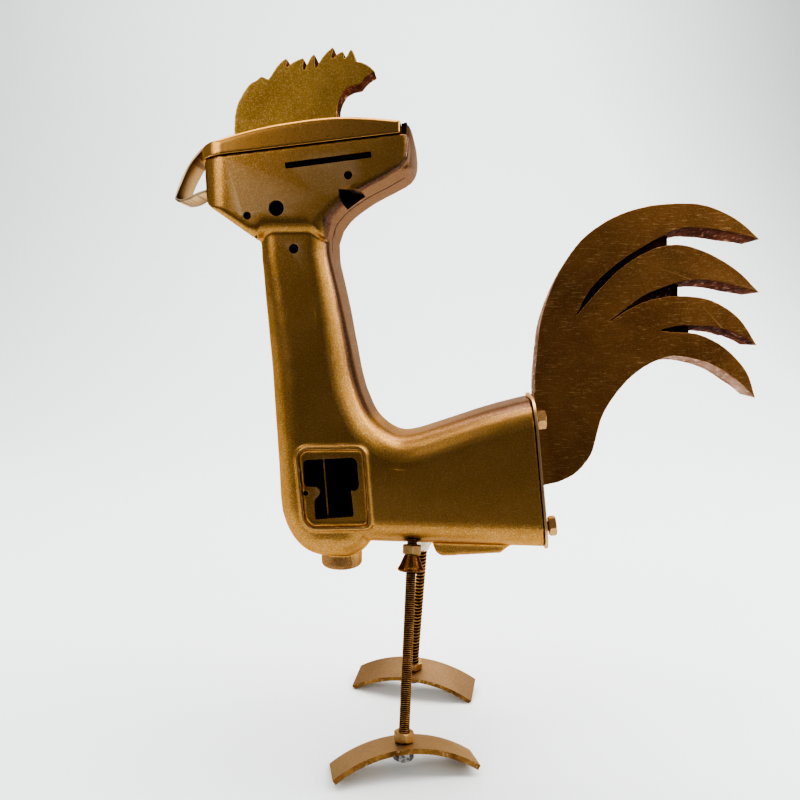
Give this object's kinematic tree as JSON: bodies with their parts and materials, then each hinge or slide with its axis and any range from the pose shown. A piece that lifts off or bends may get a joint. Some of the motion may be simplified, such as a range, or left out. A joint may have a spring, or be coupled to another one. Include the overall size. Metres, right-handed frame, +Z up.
{
  "type": "scrap metal rooster sculpture",
  "caption": "Standing rooster assembled from a hollow machine casting with a lid, sawn board comb and tail, a folded strip beak, and threaded rod legs on arched plates, painted gold.",
  "frame": {"origin": "middle of the footprint's box, on the floor", "axes": "+Z up, the rooster faces -X, its left side is towards -Y"},
  "size_m": [0.3212, 0.1262, 0.3903],
  "materials": {
    "gold_paint": "metallic spray paint with fine flake",
    "smooth_gold_paint": "satin metallic paint",
    "gold_wood_board": "metallic paint over sawn board",
    "dark_bronze_wood_board": "dark metallic paint, fine scratches",
    "bare_steel": "bare, with paint overspray"
  },
  "bodies": {
    "root": {"machine_casting": "gold_paint", "comb": "gold_wood_board", "beak_strip": "gold_paint", "end_plate": "gold_paint", "upper_tail_screw": "gold_paint", "lower_tail_screw": "gold_paint", "left_leg_rod": "gold_paint", "right_leg_rod": "gold_paint", "left_foot_nut": "gold_paint", "right_foot_nut": "gold_paint", "left_upper_leg_nut": "gold_paint", "right_upper_leg_nut": "gold_paint", "left_leg_cone": "gold_paint", "right_leg_cone": "gold_paint", "left_foot": "gold_paint", "right_foot": "gold_paint", "head_cap": "smooth_gold_paint", "tail_board": "dark_bronze_wood_board", "left_lower_foot_nut": "bare_steel", "right_lower_foot_nut": "bare_steel"}
  },
  "joints": []
}
